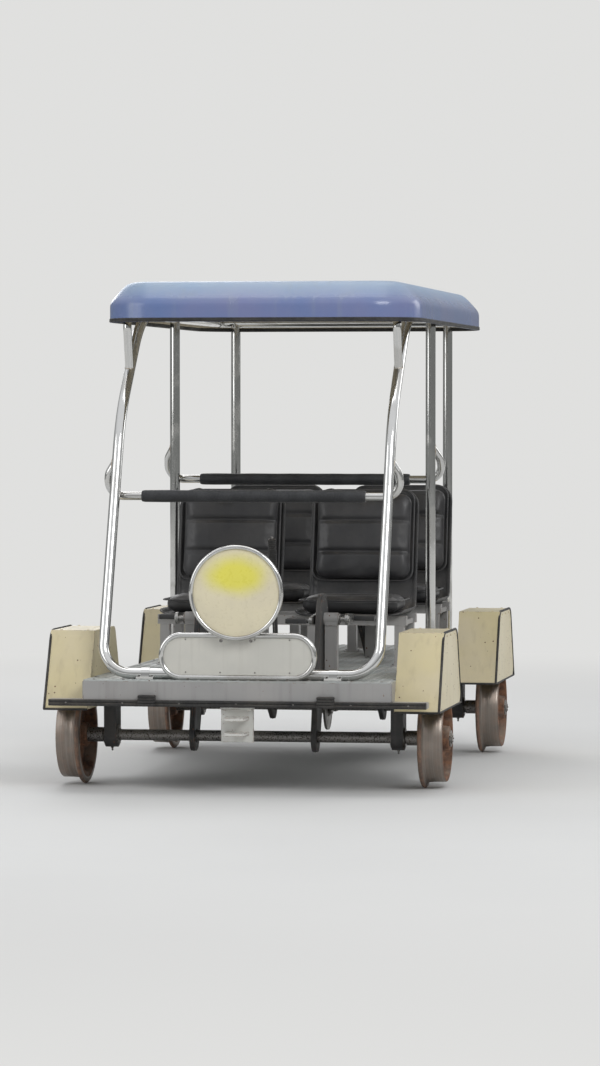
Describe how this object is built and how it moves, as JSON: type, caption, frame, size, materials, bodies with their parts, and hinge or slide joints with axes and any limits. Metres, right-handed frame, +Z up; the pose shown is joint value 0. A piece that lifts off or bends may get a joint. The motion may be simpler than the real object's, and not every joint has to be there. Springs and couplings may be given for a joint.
{
  "type": "four-seat pedal rail bike",
  "caption": "Open pedal-driven rail vehicle with two rows of seats, flanged wheels, foam grip bars and a moulded canopy on steel tube posts.",
  "frame": {"origin": "midway between the axles and the sides, at the lowest point of the wheel flanges", "axes": "+Z up, -Y the front of the vehicle, +X its left-hand side"},
  "size_m": [1.612, 2.88, 2.055],
  "materials": {
    "frame_paint": "grey semi-gloss paint, chipped at the edges",
    "deck_plate": "pale grey tread plate, worn",
    "stainless": "polished stainless tube",
    "wheel_steel": "rusty steel with bright treads",
    "machine_steel": "oiled bare steel",
    "cover_paint": "cream yellow paint",
    "white_paint": "white paint",
    "black_paint": "black paint",
    "canopy_blue": "blue moulded shell, cream inside",
    "black_rubber": "black rubber",
    "foam_black": "black foam sleeve",
    "seat_shell": "dark moulded plastic",
    "seat_vinyl": "black vinyl over foam",
    "sign_white": "pale blank plate",
    "disc_cream": "cream front, dark glossy back",
    "pedal_black": "black pedal body",
    "reflector_red": "red reflector"
  },
  "bodies": {
    "chassis": {"end_beams": "frame_paint", "side_sills": "frame_paint", "cross_members": "frame_paint", "stringers": "frame_paint", "floor_deck": "deck_plate", "front_beam_rubber": "black_rubber", "rear_beam_rubber": "black_rubber", "front_coupler": "white_paint", "rear_coupler": "white_paint", "wheel_covers": "cover_paint", "bearing_blocks": "black_paint", "canopy_frame": "stainless", "middle_posts": "stainless", "rear_posts": "stainless", "canopy_bows": "machine_steel", "canopy_shell": "canopy_blue", "front_grip_bar": "stainless", "front_grip_sleeve": "foam_black", "rear_grip_bar": "stainless", "rear_grip_sleeve": "foam_black", "sign_frame": "stainless", "sign_plate": "sign_white", "disc_ring": "stainless", "disc_dome": "disc_cream", "stand_rails": "frame_paint", "stand_legs": "frame_paint", "stand_ties": "frame_paint", "seat_shells": "seat_shell", "seat_cushions": "seat_vinyl", "seat_backs": "seat_vinyl", "pedal_stands": "frame_paint", "chain_cases": "black_paint", "brake_bracket": "frame_paint", "brake_caliper": "black_paint", "brake_cable": "black_rubber", "rear_reflectors": "reflector_red"},
    "front_wheelset": {"front_axle": "machine_steel", "front_wheels": "wheel_steel"},
    "rear_wheelset": {"rear_axle": "machine_steel", "rear_wheels": "wheel_steel"},
    "crank_front_left": {"crank_front_left": "machine_steel"},
    "pedal_front_left_inner": {"pedal_front_left_inner": "pedal_black"},
    "pedal_front_left_outer": {"pedal_front_left_outer": "pedal_black"},
    "crank_front_right": {"crank_front_right": "machine_steel"},
    "pedal_front_right_inner": {"pedal_front_right_inner": "pedal_black"},
    "pedal_front_right_outer": {"pedal_front_right_outer": "pedal_black"},
    "crank_rear_left": {"crank_rear_left": "machine_steel"},
    "pedal_rear_left_inner": {"pedal_rear_left_inner": "pedal_black"},
    "pedal_rear_left_outer": {"pedal_rear_left_outer": "pedal_black"},
    "crank_rear_right": {"crank_rear_right": "machine_steel"},
    "pedal_rear_right_inner": {"pedal_rear_right_inner": "pedal_black"},
    "pedal_rear_right_outer": {"pedal_rear_right_outer": "pedal_black"},
    "brake_lever": {"brake_lever": "black_paint"}
  },
  "joints": [
    {"name": "front_wheelset_spin", "type": "hinge", "parent": "chassis", "child": "front_wheelset", "pos_m": [0, -0.95, 0.2], "axis": [1, 0, 0], "continuous": true},
    {"name": "rear_wheelset_spin", "type": "hinge", "parent": "chassis", "child": "rear_wheelset", "pos_m": [0, 0.95, 0.2], "axis": [1, 0, 0], "continuous": true},
    {"name": "crank_front_left_spin", "type": "hinge", "parent": "chassis", "child": "crank_front_left", "pos_m": [0.29, -0.78, 0.67], "axis": [1, 0, 0], "continuous": true},
    {"name": "pedal_front_left_inner_spin", "type": "hinge", "parent": "crank_front_left", "child": "pedal_front_left_inner", "pos_m": [0.1725, -0.93, 0.67], "axis": [1, 0, 0], "continuous": true},
    {"name": "pedal_front_left_outer_spin", "type": "hinge", "parent": "crank_front_left", "child": "pedal_front_left_outer", "pos_m": [0.4075, -0.63, 0.67], "axis": [1, 0, 0], "continuous": true},
    {"name": "crank_front_right_spin", "type": "hinge", "parent": "chassis", "child": "crank_front_right", "pos_m": [-0.29, -0.78, 0.67], "axis": [1, 0, 0], "continuous": true},
    {"name": "pedal_front_right_inner_spin", "type": "hinge", "parent": "crank_front_right", "child": "pedal_front_right_inner", "pos_m": [-0.1725, -0.93, 0.67], "axis": [1, 0, 0], "continuous": true},
    {"name": "pedal_front_right_outer_spin", "type": "hinge", "parent": "crank_front_right", "child": "pedal_front_right_outer", "pos_m": [-0.4075, -0.63, 0.67], "axis": [1, 0, 0], "continuous": true},
    {"name": "crank_rear_left_spin", "type": "hinge", "parent": "chassis", "child": "crank_rear_left", "pos_m": [0.29, 0.33, 0.67], "axis": [1, 0, 0], "continuous": true},
    {"name": "pedal_rear_left_inner_spin", "type": "hinge", "parent": "crank_rear_left", "child": "pedal_rear_left_inner", "pos_m": [0.1725, 0.18, 0.67], "axis": [1, 0, 0], "continuous": true},
    {"name": "pedal_rear_left_outer_spin", "type": "hinge", "parent": "crank_rear_left", "child": "pedal_rear_left_outer", "pos_m": [0.4075, 0.48, 0.67], "axis": [1, 0, 0], "continuous": true},
    {"name": "crank_rear_right_spin", "type": "hinge", "parent": "chassis", "child": "crank_rear_right", "pos_m": [-0.29, 0.33, 0.67], "axis": [1, 0, 0], "continuous": true},
    {"name": "pedal_rear_right_inner_spin", "type": "hinge", "parent": "crank_rear_right", "child": "pedal_rear_right_inner", "pos_m": [-0.1725, 0.18, 0.67], "axis": [1, 0, 0], "continuous": true},
    {"name": "pedal_rear_right_outer_spin", "type": "hinge", "parent": "crank_rear_right", "child": "pedal_rear_right_outer", "pos_m": [-0.4075, 0.48, 0.67], "axis": [1, 0, 0], "continuous": true},
    {"name": "brake_lever_pull", "type": "hinge", "parent": "chassis", "child": "brake_lever", "pos_m": [0, -0.43, 0.5], "axis": [-1, 0, 0], "range_deg": [0, 40]}
  ]
}
